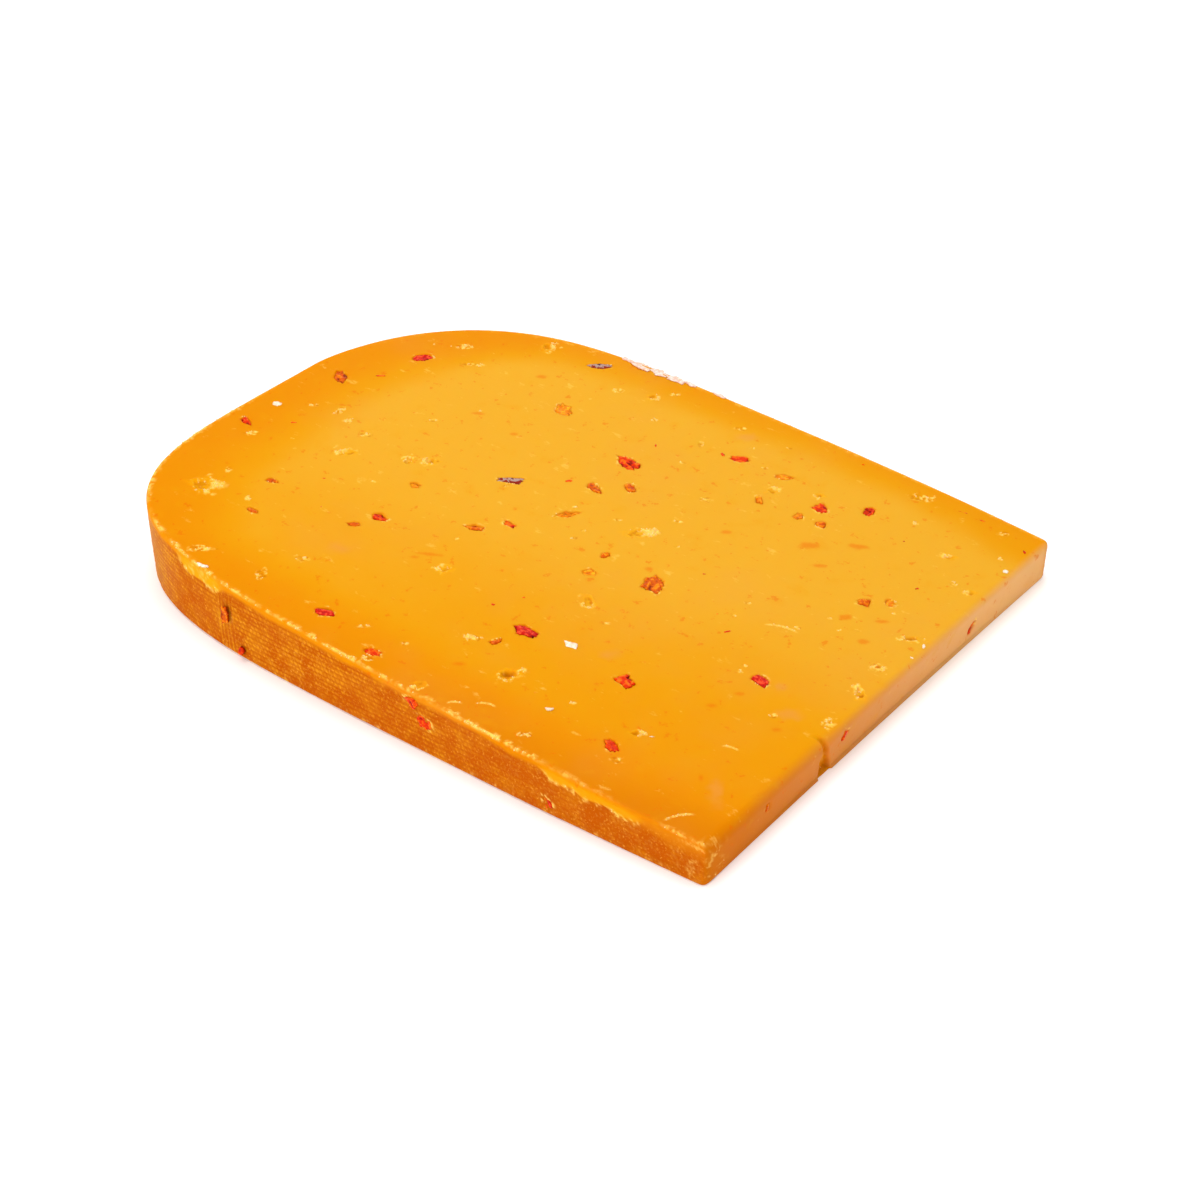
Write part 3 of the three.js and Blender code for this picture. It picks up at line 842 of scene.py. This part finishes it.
def plain_foot(outline):
    """Points and triangles of the flat lower face."""
    depth_at = EdgeDistance(outline)
    x, y = hexagonal(3.0, LOW, HIGH)
    kept = depth_at(x, y) > 1.5
    inner = np.column_stack([x, y])[kept]
    return np.column_stack([inner, np.zeros(len(inner))]), fill(outline, inner)


def build_cheese(material):
    """The whole wedge as one closed mesh: its wall, its upper face and its foot."""
    wall, wall_fields, starts, lowers = detailed_wall()
    rim = [start + low + ROLL_ROWS for start, low in zip(starts, lowers)]
    top, top_fields, top_triangles = detailed_top(wall[rim][:, :2])
    foot, foot_triangles = plain_foot(wall[starts][:, :2])
    top_index = rim + [len(wall) + i for i in range(len(top))]
    foot_index = list(starts) + [len(wall) + len(top) + i for i in range(len(foot))]
    faces = wall_faces(starts, lowers)
    faces += [tuple(top_index[i] for i in face) for face in top_triangles]
    faces += [tuple(foot_index[i] for i in reversed(face)) for face in foot_triangles]
    points = np.concatenate([wall, top, foot])
    points[:, 2] = np.maximum(points[:, 2], 0)
    cheese = new_object("fine_cheese", points, faces, material)
    for name in FIELDS:
        values = [wall_fields[name], top_fields[name], np.zeros(len(foot))]
        set_attribute(cheese, name, np.concatenate(values))
    # The paste's paleness, which holds a painted sheen and painted shade as well as its own deepening near
    # the rind.
    set_attribute(cheese, "pale", paleness_with_painted_light(points))
    settle(cheese, "cheese", "cheese_wedge")
    return cheese


def paleness_with_painted_light(points):
    """How pale the paste is: deep near the rind, which is its own colour; darker towards the near right
    corner, which is painted shade; palest on the far side, which is partly a painted sheen.
    """
    rind = evenly(rind_curve(np.linspace(0, 1, 4001)), 2.0)
    nearest = np.zeros(len(points))
    for some in np.array_split(np.arange(len(points)), 12):
        nearest[some] = np.linalg.norm(points[some, None, :2] - rind[None], axis=2).min(1)
    flat = points * (1, 1, 0)
    x, y, _ = points.T
    width = 17 + 12 * smooth(x, -40, -62)
    far_rim = 0.25 * smooth(y, 30, 55) * smooth(x, -60, -20)
    band = far_rim + (1 - far_rim) * smooth(nearest + 3 * rough(flat, 24, 201), 1, width)
    # Paler towards the far side: a painted sheen.
    middle = 0.62 + 0.38 * smooth(y + 8 * rough(flat, 30, 202), -45, 15)
    # Darker towards the near right corner: painted shade.
    corner = smooth(x, -40, 80) * smooth(y, 20, -50)
    return band * middle - 0.36 * corner + 0.04 * rough(flat, 6, 203)


# ---- materials

class Shader:
    """The node tree of a material or a world, and short ways to add nodes to it."""

    def __init__(self, owner):
        owner.use_nodes = True
        self.owner = owner
        self.tree = owner.node_tree

    def put(self, node, values):
        """Links each of a node's sockets, or sets a plain value on it."""
        for socket, value in values.items():
            if isinstance(value, bpy.types.NodeSocket):
                self.tree.links.new(value, node.inputs[socket])
            else:
                node.inputs[socket].default_value = value

    def node(self, kind, values, **settings):
        """Adds a node and gives its outputs."""
        made = self.tree.nodes.new("ShaderNode" + kind)
        for key, value in settings.items():
            setattr(made, key, value)
        self.put(made, values)
        return made.outputs

    def finish(self, values):
        """Sets the Principled shader's sockets and gives the material."""
        self.put(self.tree.nodes["Principled BSDF"], values)
        return self.owner

    def place(self):
        return self.node("TexCoord", {})["Object"]

    def attribute(self, name):
        return self.node("Attribute", {}, attribute_name=name)["Fac"]

    def scaled(self, name, factor):
        return self.times(self.attribute(name), factor)

    def times(self, first, second):
        return self.node("Math", {0: first, 1: second}, operation="MULTIPLY")[0]

    def add(self, total, *others):
        for other in others:
            total = self.node("Math", {0: total, 1: other}, operation="ADD")[0]
        return total

    def span(self, value, low, high, to_low=0.0, to_high=1.0):
        """Moves a value smoothly from to_low at low to to_high at high."""
        ends = {"Value": value, "From Min": low, "From Max": high, "To Min": to_low, "To Max": to_high}
        return self.node("MapRange", ends, interpolation_type="SMOOTHSTEP")[0]

    def coats(self, shade, *layers):
        """A colour with others laid over it, each by its own amount."""
        for amount, tint in layers:
            shade = self.node("Mix", {0: amount, 6: shade, 7: tint}, data_type="RGBA")[2]
        return shade

    def noise(self, size, detail=3.0, roughness=0.55, stretch=(1, 1, 1)):
        """Noise whose bumps are about size millimetres across, in the object's own frame."""
        place = self.node("Mapping", {"Vector": self.place(), "Scale": stretch})[0]
        values = {"Vector": place, "Scale": 1 / (size * MM), "Detail": detail, "Roughness": roughness}
        return self.node("TexNoise", values)["Fac"]

    def bump(self, height, distance, **below):
        return self.node("Bump", {"Height": height, "Distance": distance * MM, **below})[0]


def new_shader(name):
    return Shader(bpy.data.materials.new(name))


def scatter(weight, radius, reach):
    """Values that let light through the surface, as far as reach millimetres in red."""
    return {"Subsurface Weight": weight, "Subsurface Radius": radius, "Subsurface Scale": reach * MM}


def colour(red, green, blue):
    """A linear colour from an 8-bit screen colour."""
    shares = (red / 255, green / 255, blue / 255)
    return (*(((c + 0.055) / 1.055) ** 2.4 if c > 0.0404 else c / 12.92 for c in shares), 1.0)


# The palest paste: paler and bluer, partly as a painted sheen.
PASTE_PALE_WITH_PAINTED_SHEEN = colour(217, 156, 36)
PASTE_MIDDLE = colour(215, 143, 4)
PASTE_DEEP = colour(214, 130, 0)
# The darkest paste: painted shade towards the near right corner.
PASTE_PAINTED_SHADE = colour(202, 112, 0)
PASTE_MOTTLE = colour(214, 144, 4)
# The rind's darker colour, which also stands as painted shade in the valleys of the cloth's print, and its
# lighter colour, a painted highlight on the print's bumps.
RIND_VALLEY = colour(182, 82, 0)
RIND_BUMP_PAINTED_HIGHLIGHT = colour(214, 138, 20)
# Greyish tan at the rounded end: painted shade with a painted reflection of the white floor.
RIND_TAN_PAINTED_SHADE_AND_REFLECTION = colour(194, 134, 66)
RIND_SPECKLE = colour(232, 164, 60)
CRUMB = colour(242, 200, 92)
FRESH = colour(228, 160, 4)
# Painted shade in eyes, tears and flake beds.
PIT_PAINTED_SHADE = colour(188, 100, 0)
STAIN = colour(214, 104, 0)
BRUISE = colour(214, 138, 70)
# The straight cut's colours: painted shade, a darker orange, at its near end, and a painted reflection of
# the white floor, a pale tan, at its far end.
CUT_NEAR_PAINTED_SHADE = colour(202, 106, 0)
CUT_FAR_PAINTED_REFLECTION = colour(226, 166, 100)


def cheese_material():
    """Waxy paste that deepens towards the rind, the printed rind, crumbs, eyes and chilli stains, with
    painted sheen and painted shade in the paste, painted shade and reflection on the cut, painted shade in
    hollows, and painted highlight and shade on the rind's print.
    """
    shader = new_shader("cheese_paste_and_rind")
    span, noise, scaled, attribute = shader.span, shader.noise, shader.scaled, shader.attribute
    place = shader.node("SeparateXYZ", {0: shader.place()})
    # pale holds the paste's own deepening near the rind, a painted sheen on the far side and painted shade
    # at the near right corner.
    pale = attribute("pale")
    # Share of the cut's painted reflection, growing from its near end to its far end.
    cut_reflection_share = span(place["Y"], LOW[1] * MM, 0.8 * HIGH[1] * MM)
    paste = shader.coats(
        PASTE_PAINTED_SHADE,
        (span(pale, -0.6, 0.1), PASTE_DEEP),
        (span(pale, 0.0, 0.55), PASTE_MIDDLE),
        (span(pale, 0.4, 1.0), PASTE_PALE_WITH_PAINTED_SHEEN),
        # On the straight cut, painted shade and painted reflection take the place of the paste.
        (attribute("cut"), shader.coats(CUT_NEAR_PAINTED_SHADE, (cut_reflection_share, CUT_FAR_PAINTED_REFLECTION))),
        (scaled("fresh", 0.8), FRESH),
        (span(noise(4.5, 4.0), 0.55, 0.75, 0.0, 0.3), PASTE_MOTTLE),
        (span(noise(2.2, 3.0, 0.7), 0.62, 0.7, 0.0, 0.6), STAIN),
        (span(noise(3.2, 4.0, 0.7, stretch=(0.7, 1.3, 1.0)), 0.62, 0.74, 0.0, 0.35), CRUMB),
        (span(noise(22), 0.5, 0.75, 0.0, 0.1), BRUISE),
        (scaled("bruise", 0.35), BRUISE),
        (scaled("stain", 0.6), STAIN),
        # Painted shade in the hollows.
        (scaled("painted_hollow_shade", 0.75), PIT_PAINTED_SHADE),
    )
    fine = noise(0.5)
    blotch = span(noise(5.0), 0.3, 0.7, -0.15, 0.15)
    printed = shader.add(attribute("print"), shader.times(fine, 0.3), blotch)
    rind = shader.coats(
        RIND_VALLEY,
        # Lighter on the print's bumps, a painted highlight, and darker in its valleys, painted shade,
        # mottled by noise.
        (span(printed, 0.1, 0.95), RIND_BUMP_PAINTED_HIGHLIGHT),
        # Towards the rounded end: painted shade and painted reflection.
        (span(place["X"], (NOSE_X + 30) * MM, (NOSE_X + 4) * MM, 0.0, 0.8), RIND_TAN_PAINTED_SHADE_AND_REFLECTION),
        (span(noise(0.5, 3.0, 0.7), 0.56, 0.7, 0.0, 0.55), RIND_SPECKLE),
    )
    crumbly = shader.times(attribute("crumb"), span(fine, 0.25, 0.5))
    sheen = span(noise(7), 0.3, 0.7, 0.32, 0.46)
    grain = shader.times(noise(0.35, 4.0, 0.7), shader.add(attribute("rind"), 0.12))
    streaks = noise(0.7, 2.0, 0.5, stretch=(0.06, 1.0, 0.3))
    return shader.finish({
        "Base Color": shader.coats(paste, (attribute("rind"), rind), (crumbly, CRUMB)),
        "Roughness": shader.add(sheen, scaled("rind", 0.2), scaled("crumb", 0.2)),
        "Normal": shader.bump(grain, 0.12, Normal=shader.bump(streaks, 0.02)),
        "IOR": 1.46,
        "Specular IOR Level": 0.015,
        **scatter(0.35, (1.0, 0.45, 0.08), 2.4),
    })


def chilli_material(skin, *shades):
    """Dried chilli skin: painted shade in its folds and a painted highlight on its ridges, or, if purple,
    dark along one side with a painted greyish reflection across the rest.
    """
    shader = new_shader(f"chilli_{skin}_skin")
    dark, middle, light = (colour(*shade) for shade in shades)
    # The fold height sets painted shade in the folds and a painted highlight on the ridges.
    field, first, last = "fold", (-0.9, 0.3), (0.5, 1.3)
    # The purple skin: red on one side, a painted greyish reflection across the rest, dark along the far
    # edge.
    if skin == "purple_painted_sheen":
        field, first, last = "side", (-0.2, 0.2), (0.8, 1.1)
    mottle = shader.span(shader.noise(0.7, 4.0, 0.6), 0.3, 0.7, -0.7, 0.7)
    height = shader.add(shader.attribute(field), mottle)
    layers = (shader.span(height, *first), middle), (shader.span(height, *last), light)
    return shader.finish({
        "Base Color": shader.coats(dark, *layers),
        "Roughness": shader.span(shader.noise(0.6), 0.3, 0.7, 0.25, 0.45),
        "Normal": shader.bump(shader.noise(0.3, 4.0, 0.65), 0.08),
        "Specular IOR Level": 0.06,
        **scatter(0.15, (1.0, 0.2, 0.05), 0.6),
    })


def pale_material(name, low, high, weight):
    """Crumbs, grains and papery skin: pale, matt and a little translucent."""
    shader = new_shader(name)
    return shader.finish({
        "Base Color": shader.coats(low, (shader.span(shader.noise(0.6), 0.35, 0.65), high)),
        "Roughness": shader.span(shader.noise(0.4), 0.3, 0.7, 0.45, 0.65),
        "Normal": shader.bump(shader.noise(0.25), 0.05),
        **scatter(weight, (1.0, 0.6, 0.3), 0.7),
    })


def floor_material():
    shader = new_shader("pale_floor")
    tone = shader.span(shader.noise(60, 2.0), 0.3, 0.7)
    return shader.finish({
        "Base Color": shader.coats((0.95, 0.95, 0.95, 1), (tone, (0.97, 0.97, 0.97, 1))),
        "Roughness": 0.9,
        "Emission Color": (1, 1, 1, 1),
        "Emission Strength": 0.08,
        "Specular IOR Level": 0.1,
    })


# ---- flakes, grains and crumbs

def chips_object(name, meshes, material):
    """One object from the points, faces, folds and sides of one or more chips."""
    points, faces, folds, sides = zip(*meshes)
    starts = np.cumsum([0] + [len(part) for part in points]).tolist()
    joined = [tuple(start + i for i in face) for start, part in zip(starts, faces) for face in part]
    piece = new_object(name, np.concatenate(points), joined, material)
    set_attribute(piece, "fold", np.concatenate(folds))
    set_attribute(piece, "side", np.concatenate(sides))
    return piece


# The flakes whose skin differs from the rest of their slot: pinker, browner, or paler.
SPECIAL_SKINS = {
    "crimson": (3, 12, 24, 34),
    "rust": (2, 4, 5, 8, 13, 16, 19, 20, 23, 26, 31, 35, 37),
    "amber": (6, 10, 17, 21, 25, 27, 28, 36),
}


def flake_materials():
    """The skins of the flakes, each from its dark colour for painted shade, its middle colour, and its
    light colour for a painted highlight; the purple skin's middle colour is a painted reflection.
    """
    skins = {
        "crimson": ((92, 2, 0), (194, 20, 8), (238, 80, 40)),
        "red": ((118, 10, 0), (212, 46, 0), (240, 106, 4)),
        "rust": ((136, 42, 0), (206, 84, 0), (236, 136, 4)),
        "amber": ((168, 76, 0), (226, 122, 0), (244, 168, 20)),
        # Red, a painted greyish reflection, and a dark edge.
        "purple_painted_sheen": ((136, 26, 0), (172, 142, 132), (80, 36, 40)),
    }
    return {name: chilli_material(name, *shades) for name, shades in skins.items()}


def skin_of(seed, slot_name):
    """Which skin a flake has."""
    for skin, members in SPECIAL_SKINS.items():
        if seed in members:
            return skin
    return {"chilli_red": "red", "chilli_orange": "rust", "chilli_purple": "purple_painted_sheen"}[slot_name]


def build_flakes(materials):
    """A crumpled flake in the place of each CAD flake. Those in the walls stand out a little."""
    slots = {row["node"]: row["material_slot"] for row in frame["record"]["subparts"]}
    for name, flake in FLAKES.items():
        lift = 0 if flake["in_top"] else 0.14
        lifted = {**flake, "middle": flake["middle"] + lift * flake["normal"]}
        mesh = chip_mesh(lifted, depth=0.8, step=0.17, relief=1.0)
        piece = chips_object("fine_" + name, [mesh], materials[skin_of(flake["seed"], slots[name])])
        settle(piece, slots[name], name)


def chips_in_top(rows, seed, depth, relief, lift):
    """Chips that lie in the upper face, one for each row of x, y, length, width and turn."""
    x, y = np.array(rows, float)[:, :2].T
    heights = top_height(x) + top_detail(x, y)["rise"] + lift
    meshes = []
    for number, (*_, length, width, turn) in enumerate(rows):
        chip = flat_chip(x[number], y[number], heights[number], length, width, turn, seed + number)
        meshes.append(chip_mesh(chip, depth, step=0.16, relief=relief))
    return meshes


def build_small_chips(chilli):
    small = chips_in_top(SMALL_CHILLI, seed=100, depth=0.4, relief=0.4, lift=0.06)
    settle(chips_object("small_chilli_flakes", small, chilli), "chilli_red")
    white = pale_material("white_grain", colour(228, 198, 166), colour(246, 230, 212), 0.3)
    grains = chips_in_top(WHITE_GRAINS, seed=140, depth=0.5, relief=1.0, lift=0.2)
    settle(chips_object("white_grains", grains, white), "cheese")


def build_skin_pieces():
    """Papery pieces of skin that cling to the far rim."""
    skin = pale_material("papery_skin", colour(230, 176, 150), colour(246, 220, 208), 0.2)
    rim = rind_curve(np.linspace(0.5, 1, 4001))
    meshes = []
    for number, (x, length, width) in enumerate(SKIN_PIECES):
        y = rim[np.abs(rim[:, 0] - x).argmin()][1] - 0.4 * width
        chip = flat_chip(x, y, top_height(x) + 0.2, length, width, turn=-3, seed=160 + number)
        chip["normal"] = unit(np.array([0, 0.12, 0.99]))
        chip["short"] = np.cross(chip["normal"], chip["long"])
        meshes.append(chip_mesh(chip, depth=0.3, step=0.2, relief=0.8))
    settle(chips_object("skin_pieces", meshes, skin), "cheese")


def build_crumbs(cheese, count=1100):
    """Small lumps of paste that cling wherever the surface is crumbly."""
    mesh = cheese.data
    crumb, rind = np.zeros((2, len(mesh.vertices)), np.float32)
    mesh.attributes["crumb"].data.foreach_get("value", crumb)
    mesh.attributes["rind"].data.foreach_get("value", rind)
    places = np.zeros(len(mesh.vertices) * 3, np.float32)
    mesh.vertices.foreach_get("co", places)
    places = places.reshape(-1, 3) / MM
    weight = np.where(places[:, 2] > 0.5, crumb * (1 - 0.95 * rind), 0.0).astype(float) ** 2
    chosen = RANDOM.choice(len(places), count, replace=False, p=weight / weight.sum())
    ball = bmesh.new()
    bmesh.ops.create_icosphere(ball, subdivisions=1, radius=1)
    corners = np.array([v.co for v in ball.verts])
    sides = [tuple(v.index for v in face.verts) for face in ball.faces]
    ball.free()
    points, faces = [], []
    for number, vertex in enumerate(chosen):
        size = RANDOM.uniform(0.05, 0.15) * RANDOM.uniform(0.7, 1.3, 3)
        shape = corners * size * RANDOM.uniform(0.7, 1.25, (len(corners), 1))
        turn = RANDOM.uniform(0, 2 * math.pi)
        c, s = math.cos(turn), math.sin(turn)
        shape = shape @ np.array([[c, s, 0], [-s, c, 0], [0, 0, 1]])
        outward = np.array(mesh.vertices[int(vertex)].normal)
        points.append(places[vertex] + outward * size[2] * 0.35 + shape)
        faces += [tuple(number * len(corners) + i for i in side) for side in sides]
    pale = pale_material("pale_crumb", colour(238, 180, 84), colour(250, 222, 152), 0.3)
    settle(new_object("loose_crumbs", np.concatenate(points), faces, pale), "cheese")


# ---- the setting

def build_floor():
    half = 520
    corners = [(-half, -half, 0), (half, -half, 0), (half, half, 0), (-half, half, 0)]
    floor = new_object("floor", corners, [(0, 1, 2, 3)], floor_material())


def area_light(name, place, size, power):
    """A soft lamp that shines at the wedge's middle."""
    light = bpy.data.lights.new(name, "AREA")
    light.shape = "RECTANGLE"
    light.size, light.size_y = (side * MM for side in size)
    light.energy = power
    lamp = placed(name, light)
    lamp.location = Vector(place) * MM
    lamp.rotation_euler = (-Vector(place)).to_track_quat("-Z", "Y").to_euler()


def build_world():
    """A white studio: bright at the horizon, dimmer overhead."""
    world = bpy.data.worlds.new("plain_white")
    shader = Shader(world)
    height = shader.node("SeparateXYZ", {0: shader.node("TexCoord", {})["Generated"]})["Z"]
    fade = {"Value": height, "From Min": 0.24, "From Max": 0.5, "To Min": 1.1, "To Max": 0.3}
    strength = shader.node("MapRange", fade)[0]
    shader.put(shader.tree.nodes["Background"], {"Color": (1, 1, 1, 1), "Strength": strength})
    bpy.context.scene.world = world
    bpy.context.scene.view_settings.view_transform = "Standard"


def build_lights():
    area_light("overhead", (-80, 60, 900), (900, 900), 8.1)
    area_light("softbox_behind", (-330, 600, 470), (460, 300), 0.5)
    area_light("fill_from_front", (60, -640, 330), (500, 400), 2.2)
    build_world()


def build_camera():
    """Looks down at the wedge from its near right corner."""
    turned, raised = math.radians(36.97), math.radians(35.12)
    level = math.cos(raised)
    back = Vector((math.sin(turned) * level, -math.cos(turned) * level, math.sin(raised)))
    camera = bpy.data.cameras.new("camera")
    camera.lens = 63.0
    camera.sensor_width = 36
    camera.clip_start, camera.clip_end = 0.01, 20
    holder = placed("camera", camera)
    holder.location = (Vector((11.2, -2.8, 0)) + back * 416.4) * MM
    holder.rotation_euler = (-back).to_track_quat("-Z", "Y").to_euler()
    bpy.context.scene.camera = holder


build_camera()
build_floor()
build_lights()
fine_cheese = build_cheese(cheese_material())
skins = flake_materials()
build_flakes(skins)
build_small_chips(skins["red"])
build_skin_pieces()
build_crumbs(fine_cheese)
